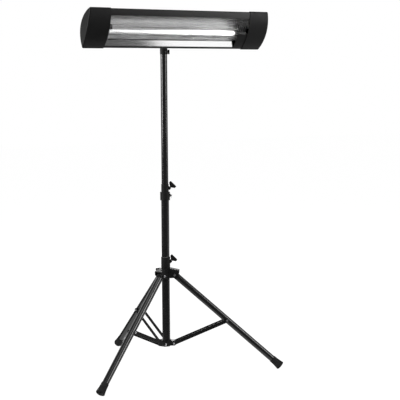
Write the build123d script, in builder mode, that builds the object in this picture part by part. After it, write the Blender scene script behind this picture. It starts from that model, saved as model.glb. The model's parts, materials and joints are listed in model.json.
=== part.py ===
from build123d import *
from math import acos, asin, cos, degrees, hypot, radians, sin, sqrt, tan
import os

# Infrared patio heater on a telescopic tripod.
# Millimetres. +Z is up, the origin is on the floor under the column, and the heater faces -Y.

os.makedirs("parts", exist_ok=True)

# ---------------------------------------------------------------- fits and clearances
press_gap = 0.03          # radial gap of a piece pressed into another of the same body
running_gap = 0.05        # radial gap of a pin or a tube that turns or slides in a bore
side_gap = 0.5            # gap beside an eye or a bar that swings
face_gap = 0.3            # gap between faces that don't touch
overcut = 2.0             # how far a cut runs past the piece that it cuts

# ---------------------------------------------------------------- column and mast
column_od = 35.0
column_wall = 1.5
column_bottom = 107.0
column_top = 790.0

mast_od = 30.0
mast_wall = 1.5
mast_top = 1444.0
mast_overlap = 115.0      # mast inside the column, as the photo has it drawn out
mast_bottom = column_top - mast_overlap

rear_leg_azimuth = 87.5
leg_names = ["rear", "left", "right"]
leg_azimuths = [rear_leg_azimuth + 120 * i for i in range(3)]
screw_azimuth = -30.0     # side on which the clamping screws and the locking pin sit

# ---------------------------------------------------------------- hub, legs and struts: sections
hub_liner_wall = 1.0
hub_wall = 1.45
hub_bore = column_od / 2 + running_gap + hub_liner_wall
hub_od = 2 * (hub_bore + hub_wall)

leg_od = 29.0
leg_wall = 1.5
bar_height = 16.0
bar_thickness = 2.5
bar_room = 1.25           # room between a leg and the strut's bars beside it
bar_spacing = leg_od + 2 * bar_room + bar_thickness
base_collar_wall = 5.0
base_collar_height = 26.0
base_collar_od = column_od + 2 * base_collar_wall

# ---------------------------------------------------------------- tripod linkage
eye_room = 5.2            # between the hub's barrel and a leg's round eye
hub_pivot_radius = hub_od / 2 + eye_room + leg_od / 2
hub_pivot_height = 425.2
foot_radius = 500.0
foot_height = 18.0        # height of the leg's axis over the floor at the foot's radius
base_pivot_reach = 11.8   # strut pivot, out from the base collar's barrel
base_pivot_lift = 11.8    # strut pivot, up from the column's lower end
base_pivot_radius = base_collar_od / 2 + base_pivot_reach
base_pivot_height = column_bottom + base_pivot_lift
strut_share = 0.502       # where the strut meets the leg, along pivot to foot

leg_length = hypot(foot_radius - hub_pivot_radius, hub_pivot_height - foot_height)
leg_spread = degrees(acos((hub_pivot_height - foot_height) / leg_length))
strut_pivot_radius = hub_pivot_radius + strut_share * (foot_radius - hub_pivot_radius)
strut_pivot_height = hub_pivot_height - strut_share * (hub_pivot_height - foot_height)
strut_length = hypot(strut_pivot_radius - base_pivot_radius, strut_pivot_height - base_pivot_height)
strut_rise = degrees(asin((strut_pivot_height - base_pivot_height) / strut_length))

# ---------------------------------------------------------------- leg eyes, feet and pins
leg_tube_start = 18.0     # distance from the hub pivot to the tube's end
leg_plug_depth = 32.0
foot_beyond = 9.5         # rubber beyond the leg's nominal length
foot_cushion = 12.0       # rubber beyond the tube's end
foot_overlap = 38.0       # tube inside the rubber
foot_lip = 1.4            # rubber wall at the open end
foot_waist = 2.0          # rubber wall at the middle of the flare
foot_flare = 6.0          # rubber wall at the sole
foot_corner = 4.0
foot_end = leg_length + foot_beyond

pin_diameter = 6.0
pin_head_radius = 5.5
pin_head_height = 3.0
leg_pin_diameter = 8.0
leg_pin_head_radius = 6.0
leg_pin_head_height = 3.5
head_slope = 20.0         # draught of a rivet's low conical head, degrees

# ---------------------------------------------------------------- hub
hub_bottom = hub_pivot_height - 13.2
hub_length = 93.0
hub_top = hub_bottom + hub_length
hub_edge = 1.5            # chamfer on the barrel's upper edge
cheek_thickness = 4.0
cheek_reach = hub_pivot_radius + 21.3
cheek_top_inner = hub_pivot_height + 29.8
cheek_top_outer = hub_pivot_height + 20.8
cheek_tip_height = hub_pivot_height + 4.8
cheek_tip_lean = 2.0
cheek_bottom_radius = hub_pivot_radius - 9.2
cheek_round = 3.0
channel_web = 4.0         # roof of a leg's channel
channel_root = 1.0        # the channel stops this far outside the barrel
hub_screw_height = hub_top - 22.5

# ---------------------------------------------------------------- base collar and column plug
lug_radius = 10.5
plug_flange = 3.0
plug_depth = 15.0
plug_wall = 3.0

# ---------------------------------------------------------------- mast clamp
clamp_wall = 4.0
clamp_od = column_od + 2 * clamp_wall
clamp_grip = 34.0         # length of column inside the clamp
clamp_bottom = column_top - clamp_grip
clamp_shoulder = column_top + 3.0
clamp_top = column_top + 36.0
clamp_edge = 1.5
sleeve_wall = 1.4
sleeve_gap = 2 * running_gap
clamp_sleeve_od = mast_od + 2 * (sleeve_gap + sleeve_wall)
bush_length = 35.0
guide_length = 25.0
guide_floor = 3.0
guide_wall = 3.0

# ---------------------------------------------------------------- clamping screws
screw_elevation = 45.0    # the screws point up and outwards
screw_diameter = 8.0
screw_tip_chamfer = 2.5
screw_tip_gap = 0.25      # between a screw's tip and the tube that it clamps
screw_length = 17.0
screw_flange_radius = 6.5
screw_flange_start = 8.0
screw_flange_height = 3.0
boss_radius = 7.5
boss_reach = 7.2          # end of the boss, along the screw from its tip
boss_root = 3.0           # how far a boss runs back into its barrel, past the screw's tip
handle_start = 12.0
handle_bar_start = 20.0
handle_end = 30.0
handle_half_width = 17.5
handle_thickness = 8.0
handle_round = 2.0
handle_stem_radius = 5.5
mast_screw_height = column_top + 17.0

# ---------------------------------------------------------------- locking pin
lock_height = column_top - 13.0
lock_pin_diameter = 6.0
lock_boss_radius = 7.0
lock_boss_end = clamp_od / 2 + 2.5
lock_head_radius = 4.5
lock_head_length = 5.5
ring_radius = 6.0
ring_wire = 1.6

# ---------------------------------------------------------------- adapter on the mast
adapter_wall = 1.2
adapter_od = mast_od + 2 * (running_gap + adapter_wall)
adapter_grip = 54.0       # length of mast inside the adapter
adapter_rise = 8.0        # adapter above the mast's end
adapter_roof = 6.0
adapter_bottom = mast_top - adapter_grip
adapter_top = mast_top + adapter_rise
knob_height = adapter_bottom + 10.0
knob_radius = 10.0
knob_length = 8.7
knob_cap = 3.7            # plastic over the end of the stud
knob_flutes = 8
knob_flute_radius = 1.8
knob_flute_set = 0.4      # centre of a flute, outside the knob's rim
knob_stud_diameter = 6.0
knob_start = adapter_od / 2 + face_gap
knob_end = knob_start + knob_length
adapter_screw_azimuth = -88.0
adapter_screw_diameter = 4.5
adapter_screw_head_radius = 4.0
adapter_screw_head_height = 2.6
fork_inner = 14.3         # half the room between the fork's cheeks
fork_cheek = 4.0
fork_eye_radius = 12.0
fork_room_radius = 15.0   # room around the saddle's ears
fork_neck = 9.0           # narrowing from the eye to the arm, above and below
fork_lean = 8.0           # how far that neck lies before and behind the eye's middle
fork_root = 22.0          # height of the arm where it joins the socket
tilt_bolt_diameter = 8.0
tilt_nut_radius = 7.5
tilt_nut_height = 5.0
tilt_knob_radius = 16.0
tilt_knob_length = 15.0
tilt_knob_neck = 3.0
tilt_knob_neck_radius = 9.0
tilt_knob_lobes = 5
tilt_knob_hollow = 7.0    # radius of the hollows between the lobes
tilt_knob_hollow_set = 3.0
tilt_knob_edge = 1.5

# ---------------------------------------------------------------- heater head: section
head_forward = 128.5      # from the mast's axis to the middle of the head's chord plane
head_rise = 47.0          # from the mast's end to that middle
head_height = mast_top + head_rise
head_tilt = 25.3          # degrees below level
cap_chord = 186.0         # profile height across the caps
cap_front_rise = 22.3
cap_back_rise = 42.0
cap_corner = 6.0
cap_edge_round = 5.5
housing_inset = 2.4       # the housing is this much smaller than the caps all round
cap_wall = housing_inset - face_gap
housing_wall = 1.8
window_top = cap_chord / 2 - 32.0       # edges of the front window, along the chord
window_bottom = -cap_chord / 2 + 16.0

# ---------------------------------------------------------------- heater head: stations along it
head_half = 440.0
cap_bulge = 8.0           # how far a cap's end stands out in the middle
cap_length = 101.0
cap_end_x = head_half
cap_corner_x = head_half - cap_bulge
cap_inner_x = head_half - cap_length
housing_end_x = cap_inner_x + 17.0
cap_screw_x = cap_inner_x + 9.0
cap_screw_angle = 18.0    # round the back arc, from its middle
cap_screw_diameter = 3.5
cap_screw_head_radius = 3.2
cap_screw_head_height = 1.6
cap_screw_length = 7.0

# ---------------------------------------------------------------- saddle and tilt axis
tilt_axis_behind = -cap_back_rise - 33.0    # tilt axis in the head's own section
tilt_axis_above = -25.0
saddle_half_width = 36.0
saddle_half_height = 25.0
saddle_bottom = tilt_axis_above - saddle_half_height
saddle_top = tilt_axis_above + saddle_half_height
saddle_thickness = 4.0
ear_thickness = 3.0
ear_radius = 11.0
ear_inset = 6.0           # the ear's root, in from the saddle's edges
saddle_screw_x = 27.0
saddle_screw_half_height = 14.0
saddle_screw_diameter = 4.0
saddle_screw_head_radius = 4.0
saddle_screw_head_height = 2.4
saddle_screw_grip = 4.0   # screw beyond the housing's wall

# ---------------------------------------------------------------- grille
wire_diameter = 2.0
wire_pitch = 10.6
rod_width = 2.8
weld_depth = 0.3
grille_reach_x = cap_inner_x - 4.0
rod_set = (wire_diameter + rod_width) / 2 - weld_depth
hook_drop = 3.0           # upper rod, below the wires' upper ends
hook_lean = 0.6           # how far the wires lean forwards there
tail_beyond = 1.1         # wire behind the lower rod
hook_height = window_top + 5.5
hook_behind = 2.57        # wires' upper ends, behind the housing's inner face
wire_shoulder = (8.6, window_top - 25.0)
wire_belly = (7.5, window_bottom + 49.0)
wire_turn = (-1.0, window_bottom + 28.3)
wire_tail = (-12.0, window_bottom + 28.3)

# ---------------------------------------------------------------- inside the head
reflector_top = window_top - 4.0
reflector_bottom = window_bottom + 32.0
reflector_front = -2.0
reflector_back = -33.0
reflector_sheet = 0.8
lip_start = window_top - 1.0
lip_turn = window_top + 17.0
lip_end = window_top + 19.0
reflector_end_x = cap_inner_x + 6.0
end_plate_sheet = 1.2
end_plate_hole = 3.0
trim_start = (-5.5, window_bottom + 24.0)
trim_knee = (-2.5, window_bottom + 25.0)
trim_foot_height = window_bottom + 1.0
trim_heel_height = window_bottom - 5.0
trim_foot_gap = 1.2       # between the ledge's front edge and the housing
trim_sheet = 1.0
trim_end_x = cap_inner_x - 49.0
cover_start_x = trim_end_x + 2.0
cover_end_x = cap_inner_x + 11.0
cover_top = window_bottom + 69.0
cover_sheet = 1.5
cover_corner = 1.0
lamp_behind = -19.0
lamp_above = -1.0
lamp_od = 19.0
lamp_wall = 1.2
lamp_end_x = reflector_end_x - 29.0
coil_radius = 3.6
coil_end_x = lamp_end_x - 14.0
coil_tail_radius = 0.9
holder_grip = 4.0         # lamp inside its end holder
holder_start_x = lamp_end_x - holder_grip
holder_radius = 12.2
lead_wire = 2.0
lead_reach = 39.0         # loop of the leads, in from the end plate
lead_slant = 14.0
lead_bend = 3.0
lead_behind = -6.0
lead_low = reflector_top - 21.0
lead_high = reflector_top - 4.0

# ---------------------------------------------------------------- wiring side (right cap)
block_length = 40.0
block_depth = 14.0
block_height = 18.0
block_well_radius = 3.0
block_well_depth = 8.0
block_well_step = 12.0
block_centre = (-16.0, 26.0)
switch_size = 22.0
switch_depth = 16.0
switch_edge = 2.0
switch_centre = (-16.0, -32.0)
gland_x = cap_inner_x + 53.0
gland_above = -30.0
gland_radius = 8.0
gland_thread_radius = 6.5
gland_nut = 6.0
gland_bore = 3.6
gland_length = 16.0
gland_root = 12.0         # thread inside the cap
gland_slope = 8.0


# ---------------------------------------------------------------- planes and small helpers
standing = (Align.CENTER, Align.CENTER, Align.MIN)


def radial_plane(azimuth, height=0.0):
    """Upright plane through the column's axis: local x is outwards, local y is up."""
    a = radians(azimuth)
    return Plane(origin=(0, 0, height), x_dir=(cos(a), sin(a), 0), z_dir=(sin(a), -cos(a), 0))


def outward_plane(azimuth, height):
    """Plane on the column's axis that faces outwards along an azimuth."""
    a = radians(azimuth)
    return Plane(origin=(0, 0, height), x_dir=(0, 0, 1), z_dir=(cos(a), sin(a), 0))


def leg_plane(azimuth):
    """Plane at a leg's hub pivot, facing down the leg."""
    a, s = radians(azimuth), radians(leg_spread)
    pivot = (hub_pivot_radius * cos(a), hub_pivot_radius * sin(a), hub_pivot_height)
    down = (sin(s) * cos(a), sin(s) * sin(a), -cos(s))
    return Plane(origin=pivot, x_dir=(sin(a), -cos(a), 0), z_dir=down)


def screw_plane(azimuth, tip_radius, tip_height):
    """Plane at a clamping screw's tip, facing out along the screw. Local x is sideways."""
    a, e = radians(azimuth), radians(screw_elevation)
    tip = (tip_radius * cos(a), tip_radius * sin(a), tip_height)
    out = (cos(e) * cos(a), cos(e) * sin(a), sin(e))
    return Plane(origin=tip, x_dir=(sin(a), -cos(a), 0), z_dir=out)


def screw_side_plane(azimuth, tip_radius, tip_height):
    """Upright plane along a clamping screw: local y is along the screw, from its tip."""
    a, e = radians(azimuth), radians(screw_elevation)
    tip = (tip_radius * cos(a), tip_radius * sin(a), tip_height)
    across = (sin(e) * cos(a), sin(e) * sin(a), -cos(e))
    return Plane(origin=tip, x_dir=across, z_dir=(sin(a), -cos(a), 0))


def side_seat(side, radius, height, out):
    """Plane on an upright radial plane's side, at a pin, that faces away from it."""
    spot = side.from_local_coords(Vector(radius, height, out))
    return Plane(origin=spot, x_dir=side.x_dir, z_dir=side.z_dir if out > 0 else -side.z_dir)


def cone_head(seat, radius, height):
    """A rivet's low conical head, standing on a seat plane."""
    with Locations(seat):
        Cone(radius, radius - height * tan(radians(head_slope)), height, align=standing)


def write(piece, name):
    """Names a finished piece and writes it."""
    piece.part.label = name
    export_step(piece.part, f"parts/{name}.step")


tilt = radians(head_tilt)
head_centre = (0, -head_forward, head_height)
head_front_dir = (0, -cos(tilt), -sin(tilt))
head_up_dir = (0, -sin(tilt), cos(tilt))

# Head section: local x is forwards out of the window, local y is up along the chord, local z is -X.
head_section = Plane(origin=head_centre, x_dir=head_front_dir, z_dir=(-1, 0, 0))
# Head face: local x is +X, local y is up along the chord, local z is forwards.
head_face = Plane(origin=head_centre, x_dir=(1, 0, 0), z_dir=head_front_dir)


def head_slice(x):
    """The head's section plane, moved to a station along the head."""
    return head_section.offset(-x)


# The head's section is bounded by two arcs, a shallow one in front and a deeper one behind.
front_arc_radius = ((cap_chord / 2) ** 2 + cap_front_rise**2) / (2 * cap_front_rise)
front_arc_centre = cap_front_rise - front_arc_radius
back_arc_radius = ((cap_chord / 2) ** 2 + cap_back_rise**2) / (2 * cap_back_rise)
back_arc_centre = back_arc_radius - cap_back_rise


def front_face_at(height, inset):
    """How far in front of the chord plane the front arc lies, at a height along the chord."""
    return front_arc_centre + sqrt((front_arc_radius - inset) ** 2 - height**2)


def back_face_at(height, grown):
    """Where the back arc lies, behind the chord plane, at a height along the chord."""
    return back_arc_centre - sqrt((back_arc_radius + grown) ** 2 - height**2)


def lens(inset, corner):
    """The head's section: a shallow arc in front, a deeper one behind, both moved in by the inset."""
    front, back = front_arc_radius - inset, back_arc_radius - inset
    apart = back_arc_centre - front_arc_centre
    tip_x = (front**2 - back**2 + apart * (back_arc_centre + front_arc_centre)) / (2 * apart)
    tip_y = sqrt(front**2 - (tip_x - front_arc_centre) ** 2)
    with BuildSketch() as outline:
        with BuildLine():
            ThreePointArc((tip_x, tip_y), (front_arc_centre + front, 0), (tip_x, -tip_y))
            ThreePointArc((tip_x, -tip_y), (back_arc_centre - back, 0), (tip_x, tip_y))
        make_face()
        fillet(outline.vertices(), corner)
    return outline.sketch


cap_outline = lens(0, cap_corner)
cap_cavity_outline = lens(cap_wall, cap_corner - cap_wall)
housing_outline = lens(housing_inset, cap_corner - housing_inset)
housing_hollow = lens(housing_inset + housing_wall, cap_corner - housing_inset - housing_wall)

# The grille's rods and the reflector's lip follow the housing's inner face.
wire_hook = (front_face_at(hook_height, housing_inset + housing_wall) - hook_behind, hook_height)
upper_rod = (wire_hook[0] - rod_set + hook_lean, hook_height - hook_drop)
lower_rod = (wire_tail[0] + rod_width / 2 + tail_beyond, wire_tail[1] - rod_set)
lip_front = upper_rod[0] - rod_width / 2 - face_gap - reflector_sheet / 2


# ================================================================ column (fixed body)
with BuildPart() as column_tube:
    with BuildSketch(Plane.XY.offset(column_bottom)):
        Circle(column_od / 2)
        Circle(column_od / 2 - column_wall, mode=Mode.SUBTRACT)
    extrude(amount=column_top - column_bottom)
    with BuildSketch(outward_plane(screw_azimuth, lock_height)):
        Circle(lock_pin_diameter / 2 + running_gap)
    extrude(amount=column_od, mode=Mode.SUBTRACT)
write(column_tube, "column_tube")

with BuildPart() as column_plug:
    with BuildSketch(Plane.XY.offset(column_bottom - plug_flange)):
        Circle(column_od / 2)
    extrude(amount=plug_flange)
    with BuildSketch(Plane.XY.offset(column_bottom)):
        Circle(column_od / 2 - column_wall - press_gap)
    extrude(amount=plug_depth)
    with BuildSketch(Plane.XY.offset(column_bottom)):
        Circle(column_od / 2 - column_wall - plug_wall)
    extrude(amount=plug_depth, mode=Mode.SUBTRACT)
write(column_plug, "column_plug")

lug_half_width = (bar_spacing - bar_thickness) / 2 - face_gap
with BuildPart() as base_collar:
    with BuildSketch(Plane.XY.offset(column_bottom)):
        Circle(base_collar_od / 2)
    extrude(amount=base_collar_height)
    for azimuth in leg_azimuths:
        with BuildSketch(radial_plane(azimuth)):
            with Locations((base_pivot_radius, base_pivot_height)):
                Circle(lug_radius)
            with Locations((base_pivot_radius / 2, base_pivot_height)):
                Rectangle(base_pivot_radius, 2 * lug_radius)
        extrude(amount=lug_half_width, both=True)
    with BuildSketch(Plane.XY.offset(column_bottom - overcut)):
        Circle(column_od / 2 + press_gap)
    extrude(amount=base_collar_height + 2 * overcut, mode=Mode.SUBTRACT)
    for azimuth in leg_azimuths:
        with BuildSketch(radial_plane(azimuth)):
            with Locations((base_pivot_radius, base_pivot_height)):
                Circle(pin_diameter / 2 + press_gap)
        extrude(amount=bar_spacing, both=True, mode=Mode.SUBTRACT)
write(base_collar, "base_collar")

bar_outer_face = (bar_spacing + bar_thickness) / 2
with BuildPart() as strut_pins:
    for azimuth in leg_azimuths:
        side = radial_plane(azimuth)
        with BuildSketch(side):
            with Locations((base_pivot_radius, base_pivot_height)):
                Circle(pin_diameter / 2)
        extrude(amount=bar_outer_face + face_gap, both=True)
        for end in (-1, 1):
            seat = side_seat(side, base_pivot_radius, base_pivot_height, end * (bar_outer_face + face_gap))
            cone_head(seat, pin_head_radius, pin_head_height)
write(strut_pins, "strut_pins")


def screw_tip_radius(surface_radius):
    """Radius of an inclined screw's tip centre, when its chamfered end just clears a tube."""
    end_radius = screw_diameter / 2 - screw_tip_chamfer
    return surface_radius + screw_tip_gap + end_radius * sin(radians(screw_elevation))


mast_tip_radius = screw_tip_radius(mast_od / 2)
hub_tip_radius = screw_tip_radius(column_od / 2)

with BuildPart() as mast_clamp:
    with BuildSketch(Plane.XY.offset(clamp_bottom)):
        Circle(clamp_od / 2)
    extrude(amount=clamp_shoulder - clamp_bottom)
    chamfer(mast_clamp.edges().group_by(Axis.Z)[-1], clamp_edge)
    with BuildSketch(Plane.XY.offset(clamp_shoulder)):
        Circle(clamp_sleeve_od / 2)
    extrude(amount=clamp_top - clamp_shoulder)
    with BuildSketch(outward_plane(screw_azimuth, lock_height)):
        Circle(lock_boss_radius)
    extrude(amount=lock_boss_end)
    with BuildSketch(screw_plane(screw_azimuth, mast_tip_radius, mast_screw_height).offset(boss_reach)):
        Circle(boss_radius)
    extrude(amount=-boss_reach - boss_root)
    with BuildSketch(Plane.XY.offset(clamp_bottom)):
        Circle(column_od / 2 + press_gap)
    extrude(amount=column_top - clamp_bottom, mode=Mode.SUBTRACT)
    with BuildSketch(Plane.XY.offset(clamp_bottom)):
        Circle(mast_od / 2 + sleeve_gap)
    extrude(amount=clamp_top - clamp_bottom, mode=Mode.SUBTRACT)
    with BuildSketch(outward_plane(screw_azimuth, lock_height)):
        Circle(lock_pin_diameter / 2 + running_gap)
    extrude(amount=clamp_od, mode=Mode.SUBTRACT)
    with BuildSketch(screw_plane(screw_azimuth, mast_tip_radius, mast_screw_height).offset(-screw_diameter)):
        Circle(screw_diameter / 2 + running_gap)
    extrude(amount=clamp_od, mode=Mode.SUBTRACT)
write(mast_clamp, "mast_clamp")

with BuildPart() as clamp_bush:
    with BuildSketch(Plane.XY.offset(column_top - bush_length)):
        Circle(column_od / 2 - column_wall - press_gap)
        Circle(mast_od / 2 + running_gap, mode=Mode.SUBTRACT)
    extrude(amount=bush_length)
    with BuildSketch(outward_plane(screw_azimuth, lock_height)):
        Circle(lock_pin_diameter / 2 + running_gap)
    extrude(amount=column_od, mode=Mode.SUBTRACT)
write(clamp_bush, "clamp_bush")

# ================================================================ hub
eye_half_width = leg_od / 2 - side_gap
cheek_inner = leg_od / 2 + side_gap


def cheek_outline():
    """Side view of a leg channel's cheek, in a radial plane."""
    with BuildSketch() as outline:
        with BuildLine():
            Polyline(
                (0, cheek_top_inner),
                (hub_od / 2, cheek_top_inner),
                (cheek_reach, cheek_top_outer),
                (cheek_reach - cheek_tip_lean, cheek_tip_height),
                (cheek_bottom_radius, hub_bottom),
                (0, hub_bottom),
                close=True,
            )
        make_face()
        outer = outline.vertices().filter_by(lambda v: v.X > hub_od / 2 + overcut)
        fillet(outer, cheek_round)
    return outline.sketch


def channel_outline():
    """Side view of the room inside a leg channel. Its roof runs with the cheeks' upper edge."""
    fall = (cheek_top_inner - cheek_top_outer) / (cheek_reach - hub_od / 2)
    wall = hub_od / 2 + channel_root
    past = cheek_reach + overcut
    with BuildSketch() as outline:
        with BuildLine():
            Polyline(
                (wall, hub_bottom - overcut),
                (wall, cheek_top_inner - channel_web),
                (past, cheek_top_inner - channel_web - fall * (past - wall)),
                (past, hub_bottom - overcut),
                close=True,
            )
        make_face()
    return outline.sketch


with BuildPart() as hub:
    with BuildSketch(Plane.XY.offset(hub_bottom)):
        Circle(hub_od / 2)
    extrude(amount=hub_top - hub_bottom)
    chamfer(hub.edges().group_by(Axis.Z)[-1], hub_edge)
    for azimuth in leg_azimuths:
        with BuildSketch(radial_plane(azimuth)):
            add(cheek_outline())
        extrude(amount=cheek_inner + cheek_thickness, both=True)
    with BuildSketch(screw_plane(screw_azimuth, hub_tip_radius, hub_screw_height).offset(boss_reach)):
        Circle(boss_radius)
    extrude(amount=-boss_reach - boss_root)
    for azimuth in leg_azimuths:
        with BuildSketch(radial_plane(azimuth)):
            add(channel_outline())
        extrude(amount=cheek_inner, both=True, mode=Mode.SUBTRACT)
        with BuildSketch(radial_plane(azimuth)):
            with Locations((hub_pivot_radius, hub_pivot_height)):
                Circle(leg_pin_diameter / 2 + press_gap)
        extrude(amount=hub_od, both=True, mode=Mode.SUBTRACT)
    with BuildSketch(Plane.XY.offset(hub_bottom)):
        Circle(hub_bore + press_gap)
    extrude(amount=hub_top - hub_bottom, mode=Mode.SUBTRACT)
    with BuildSketch(screw_plane(screw_azimuth, hub_tip_radius, hub_screw_height).offset(-screw_diameter)):
        Circle(screw_diameter / 2 + running_gap)
    extrude(amount=hub_od, mode=Mode.SUBTRACT)
write(hub, "hub")

with BuildPart() as hub_liner:
    with BuildSketch(Plane.XY.offset(hub_bottom)):
        Circle(hub_bore)
        Circle(column_od / 2 + running_gap, mode=Mode.SUBTRACT)
    extrude(amount=hub_top - hub_bottom)
    with BuildSketch(screw_plane(screw_azimuth, hub_tip_radius, hub_screw_height).offset(-screw_diameter)):
        Circle(screw_diameter / 2 + running_gap)
    extrude(amount=hub_od, mode=Mode.SUBTRACT)
write(hub_liner, "hub_liner")

hub_outer_face = cheek_inner + cheek_thickness
with BuildPart() as leg_pins:
    for azimuth in leg_azimuths:
        side = radial_plane(azimuth)
        with BuildSketch(side):
            with Locations((hub_pivot_radius, hub_pivot_height)):
                Circle(leg_pin_diameter / 2)
        extrude(amount=hub_outer_face, both=True)
        for end in (-1, 1):
            seat = side_seat(side, hub_pivot_radius, hub_pivot_height, end * hub_outer_face)
            cone_head(seat, leg_pin_head_radius, leg_pin_head_height)
write(leg_pins, "leg_pins")


# ================================================================ clamping screws
def clamping_screw(tip_radius, tip_height, name):
    """An inclined zinc screw with its moulded wing handle."""
    tip = screw_plane(screw_azimuth, tip_radius, tip_height)
    with BuildPart() as screw:
        with BuildSketch(tip):
            Circle(screw_diameter / 2)
        extrude(amount=screw_length)
        tip_face = min(screw.faces().filter_by(GeomType.PLANE), key=lambda f: f.center().Z)
        chamfer(tip_face.edges(), screw_tip_chamfer)
        with BuildSketch(tip.offset(screw_flange_start)):
            RegularPolygon(screw_flange_radius, 6)
        extrude(amount=screw_flange_height)
    write(screw, f"{name}_screw")

    with BuildPart() as handle:
        with BuildSketch(screw_side_plane(screw_azimuth, tip_radius, tip_height)) as wings:
            with BuildLine():
                Polyline(
                    (-handle_stem_radius, handle_start),
                    (-handle_half_width, handle_bar_start),
                    (-handle_half_width, handle_end),
                    (handle_half_width, handle_end),
                    (handle_half_width, handle_bar_start),
                    (handle_stem_radius, handle_start),
                    close=True,
                )
            make_face()
            fillet(wings.vertices(), handle_round)
        extrude(amount=handle_thickness / 2, both=True)
        with BuildSketch(tip.offset(handle_start)):
            Circle(handle_stem_radius)
        extrude(amount=handle_end - handle_start - overcut)
        with BuildSketch(tip):
            Circle(screw_diameter / 2 + press_gap)
        extrude(amount=screw_length + press_gap, mode=Mode.SUBTRACT)
    write(handle, f"{name}_screw_handle")


clamping_screw(hub_tip_radius, hub_screw_height, "hub")
clamping_screw(mast_tip_radius, mast_screw_height, "mast")

# ================================================================ legs and struts
for leg_name, azimuth in zip(leg_names, leg_azimuths):
    along = leg_plane(azimuth)
    side = radial_plane(azimuth)
    tube_end = foot_end - foot_cushion

    with BuildPart() as leg_tube:
        with BuildSketch(along.offset(leg_tube_start)):
            Circle(leg_od / 2)
            Circle(leg_od / 2 - leg_wall, mode=Mode.SUBTRACT)
        extrude(amount=tube_end - leg_tube_start)
    write(leg_tube, f"leg_tube_{leg_name}")

    with BuildPart() as leg_eye:
        with BuildSketch(along):
            Circle(leg_od / 2)
        extrude(amount=leg_tube_start)
        with BuildSketch(side):
            with Locations((hub_pivot_radius, hub_pivot_height)):
                Circle(leg_od / 2)
        extrude(amount=eye_half_width, both=True)
        with BuildSketch(along.offset(leg_tube_start)):
            Circle(leg_od / 2 - leg_wall - press_gap)
        extrude(amount=leg_plug_depth)
        with BuildSketch(side):
            with Locations((hub_pivot_radius, hub_pivot_height)):
                Circle(leg_pin_diameter / 2 + running_gap)
        extrude(amount=leg_od, both=True, mode=Mode.SUBTRACT)
    write(leg_eye, f"leg_eye_{leg_name}")

    foot_start = tube_end - foot_overlap
    tube_radius = leg_od / 2 + press_gap
    with BuildPart() as foot:
        with BuildSketch(Plane(origin=along.origin, x_dir=along.x_dir, z_dir=-along.y_dir)) as outline:
            with BuildLine():
                Line((tube_radius + foot_lip, foot_start), (0, foot_start))
                Line((0, foot_start), (0, foot_end))
                Line((0, foot_end), (tube_radius + foot_flare, foot_end))
                ThreePointArc(
                    (tube_radius + foot_flare, foot_end),
                    (tube_radius + foot_waist, (foot_start + tube_end) / 2),
                    (tube_radius + foot_lip, foot_start),
                )
            make_face()
            fillet(outline.vertices().sort_by(Axis.X)[-1], foot_corner)
        revolve(axis=Axis(along.origin, along.z_dir))
        with BuildSketch(along.offset(foot_start)):
            Circle(tube_radius)
        extrude(amount=foot_overlap, mode=Mode.SUBTRACT)
        split(bisect_by=Plane.XY, keep=Keep.TOP)
    write(foot, f"foot_{leg_name}")

    strut_angle = radians(strut_rise)
    with BuildPart() as strut_bars:
        for end in (-1, 1):
            inner = end * (bar_spacing - bar_thickness) / 2
            with BuildSketch(side.offset(inner)):
                with Locations(
                    Location(
                        (
                            (base_pivot_radius + strut_pivot_radius) / 2,
                            (base_pivot_height + strut_pivot_height) / 2,
                        ),
                        strut_rise,
                    )
                ):
                    SlotCenterToCenter(strut_length, bar_height)
                with Locations((base_pivot_radius, base_pivot_height)):
                    Circle(pin_diameter / 2 + running_gap, mode=Mode.SUBTRACT)
                with Locations((strut_pivot_radius, strut_pivot_height)):
                    Circle(pin_diameter / 2 + press_gap, mode=Mode.SUBTRACT)
            extrude(amount=end * bar_thickness)
    write(strut_bars, f"strut_bars_{leg_name}")

    with BuildPart() as strut_rivets:
        for end in (-1, 1):
            with BuildSketch(side.offset(end * (bar_spacing - bar_thickness) / 2)):
                with Locations((strut_pivot_radius, strut_pivot_height)):
                    Circle(pin_diameter / 2)
            extrude(amount=end * bar_thickness)
            seat = side_seat(side, strut_pivot_radius, strut_pivot_height, end * bar_outer_face)
            cone_head(seat, pin_head_radius, pin_head_height)
    write(strut_rivets, f"strut_rivets_{leg_name}")

# ================================================================ mast
with BuildPart() as mast_tube:
    with BuildSketch(Plane.XY.offset(mast_bottom)):
        Circle(mast_od / 2)
        Circle(mast_od / 2 - mast_wall, mode=Mode.SUBTRACT)
    extrude(amount=mast_top - mast_bottom)
write(mast_tube, "mast_tube")

guide_radius = column_od / 2 - column_wall - running_gap
with BuildPart() as mast_guide:
    with BuildSketch(Plane.XY.offset(mast_bottom - guide_floor)):
        Circle(guide_radius)
    extrude(amount=guide_length)
    with BuildSketch(Plane.XY.offset(mast_bottom)):
        Circle(mast_od / 2 + press_gap)
    extrude(amount=guide_length, mode=Mode.SUBTRACT)
    with BuildSketch(Plane.XY.offset(mast_bottom - guide_floor)):
        Circle(mast_od / 2 - mast_wall - guide_wall)
    extrude(amount=guide_floor, mode=Mode.SUBTRACT)
write(mast_guide, "mast_guide")

# ================================================================ locking pin
pin_out = outward_plane(screw_azimuth, lock_height)
pin_side = radial_plane(screw_azimuth)
ring_station = lock_boss_end + face_gap + lock_head_length / 2
ring_centre = pin_side.from_local_coords(Vector(ring_station, lock_height - ring_radius, 0))


def ring(wire_radius):
    """The pull ring: a six-sided section, revolved about the line out of the pin."""
    with BuildPart() as loop:
        with BuildSketch(Plane(origin=ring_centre, x_dir=pin_side.y_dir, z_dir=pin_side.z_dir)):
            with Locations((ring_radius, 0)):
                RegularPolygon(wire_radius, 6)
        revolve(axis=Axis(ring_centre, pin_side.x_dir))
    return loop.part


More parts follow.
